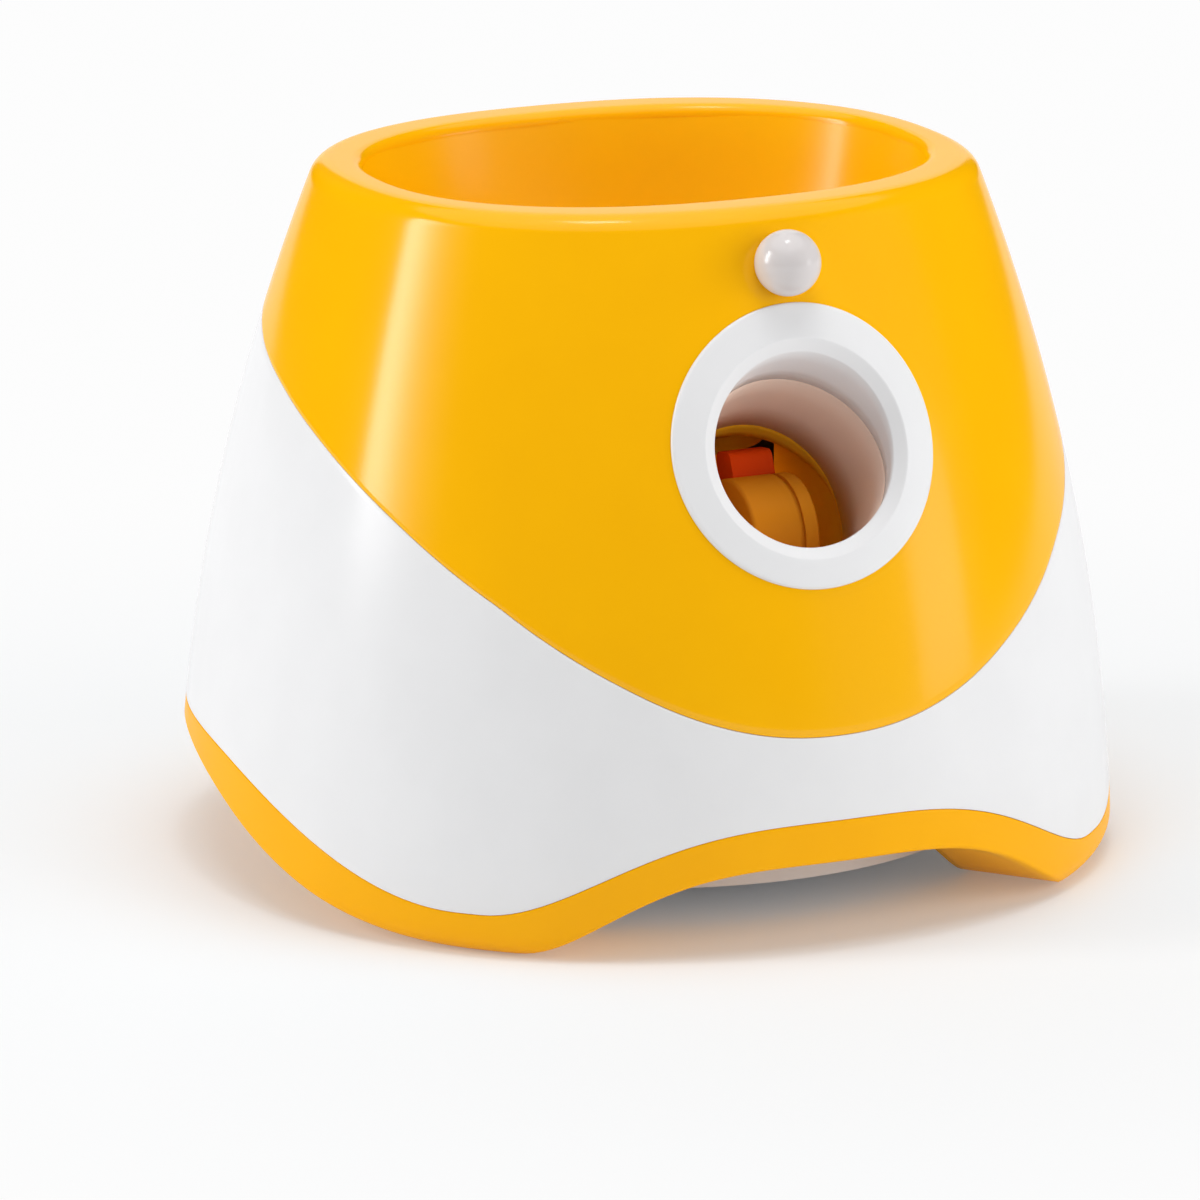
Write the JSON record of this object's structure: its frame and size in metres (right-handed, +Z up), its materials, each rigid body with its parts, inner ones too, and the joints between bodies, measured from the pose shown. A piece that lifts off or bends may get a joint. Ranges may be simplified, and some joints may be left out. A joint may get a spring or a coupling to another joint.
{
  "type": "automatic dog ball launcher",
  "caption": "Free-standing automatic ball launcher for dogs: open hopper on top, slanted launch tube in front, sprung striker, gear train, motor, battery base",
  "frame": {"origin": "on the floor, under the middle of the body's box", "axes": "+Z up, the launch mouth faces -Y, X to the side"},
  "size_m": [0.2649, 0.2595, 0.2],
  "materials": {
    "yellow_shell": "glossy moulded plastic",
    "white_shell": "glossy moulded plastic",
    "foot_orange": "glossy moulded plastic",
    "pan_grey": "fine matt texture",
    "pad_rubber": "matt",
    "screw_steel": "zinc plated",
    "contact_nickel": "nickel plated",
    "speaker_black": "paper cone and steel frame",
    "chamber_orange": "moulded, half matt",
    "striker_orange": "moulded, half matt",
    "arm_orange": "moulded, half matt",
    "shaft_steel": "ground",
    "bush_white": "acetal",
    "spring_steel": "hard drawn wire",
    "bumper_rubber": "matt",
    "gear_white": "acetal",
    "gear_brass": "machined",
    "plate_steel": "zinc plated sheet",
    "motor_can": "plated can",
    "lens_white": "milky, lets infrared through",
    "board_green": "glass fibre board",
    "switch_black": "moulded",
    "button_orange": "moulded",
    "light_green": "clear tinted"
  },
  "bodies": {
    "housing": {"upper_shell": "yellow_shell", "hopper_bowl": "yellow_shell", "lower_shell": "white_shell", "foot_band": "foot_orange", "base_pan": "pan_grey", "foot_pads": "pad_rubber", "case_screws": "screw_steel", "battery_springs": "contact_nickel", "battery_plates": "contact_nickel", "loudspeaker": "speaker_black", "launch_flange": "white_shell", "launch_tube": "white_shell", "chamber_left": "chamber_orange", "chamber_right": "chamber_orange", "ball_switch": "switch_black", "striker_bushes": "bush_white", "striker_spring": "spring_steel", "striker_bumper": "bumper_rubber", "gear_plate_inner": "plate_steel", "gear_plate_outer": "plate_steel", "plate_spacers": "screw_steel", "plate_screws": "screw_steel", "motor": "motor_can", "sensor_lens": "lens_white", "sensor_board": "board_green", "sensor_can": "contact_nickel", "rear_panel": "white_shell", "power_inlet": "switch_black", "indicator_light": "light_green", "main_board": "board_green"},
    "battery_door": {"battery_door": "pan_grey"},
    "striker": {"striker_head": "striker_orange", "striker_arm": "arm_orange", "striker_shaft": "shaft_steel", "cocking_lever": "gear_white"},
    "switch_lever": {"switch_lever": "contact_nickel"},
    "cam_wheel": {"cam_gear": "gear_white", "cam_pin": "shaft_steel", "cam_shaft": "shaft_steel"},
    "second_wheel": {"second_gear": "gear_white", "second_shaft": "shaft_steel"},
    "first_wheel": {"first_gear": "gear_white", "first_shaft": "shaft_steel"},
    "motor_rotor": {"motor_pinion": "gear_brass", "motor_shaft": "shaft_steel"},
    "power_button": {"power_button": "button_orange"},
    "distance_button": {"distance_button": "button_orange"}
  },
  "joints": [
    {"name": "striker_swing", "type": "hinge", "parent": "housing", "child": "striker", "pos_m": [0, -0.08506, 0.03707], "axis": [1, 0, 0], "range_deg": [-65.42, 0], "stiffness_Nm_per_rad": 0.8, "springref_deg": 17.19, "deforming": ["striker_spring"]},
    {"name": "battery_door_slide", "type": "slide", "parent": "housing", "child": "battery_door", "axis": [1, 0, 0], "range_m": [0, 0.012]},
    {"name": "switch_lever_turn", "type": "hinge", "parent": "housing", "child": "switch_lever", "pos_m": [-0.0332, -0.01, 0.1223], "axis": [0, 1, 0], "range_deg": [0, 9], "stiffness_Nm_per_rad": 0.01, "springref_deg": -11.46},
    {"name": "cam_turn", "type": "hinge", "parent": "housing", "child": "cam_wheel", "pos_m": [0, -0.04256, 0.04846], "axis": [1, 0, 0], "range_deg": [-117, 197]},
    {"name": "second_turn", "type": "hinge", "parent": "housing", "child": "second_wheel", "pos_m": [0, -0.01671, 0.07015], "axis": [1, 0, 0], "range_deg": [-788, 468]},
    {"name": "first_turn", "type": "hinge", "parent": "housing", "child": "first_wheel", "pos_m": [0, 0.00491, 0.07802], "axis": [1, 0, 0], "range_deg": [-1684.8, 2836.8]},
    {"name": "motor_turn", "type": "hinge", "parent": "housing", "child": "motor_rotor", "pos_m": [0, 0.01842, 0.07022], "axis": [1, 0, 0], "range_deg": [-9456, 5616]},
    {"name": "power_press", "type": "slide", "parent": "housing", "child": "power_button", "axis": [0, -1, 0], "range_m": [0, 0.0015], "stiffness_N_per_m": 600, "springref_m": -0.001},
    {"name": "distance_press", "type": "slide", "parent": "housing", "child": "distance_button", "axis": [0, -1, 0], "range_m": [0, 0.0015], "stiffness_N_per_m": 600, "springref_m": -0.001}
  ],
  "couplings": [
    {"joint": "second_turn", "follows": "cam_turn", "ratio": -4},
    {"joint": "first_turn", "follows": "cam_turn", "ratio": 14.4},
    {"joint": "motor_turn", "follows": "cam_turn", "ratio": -48}
  ]
}
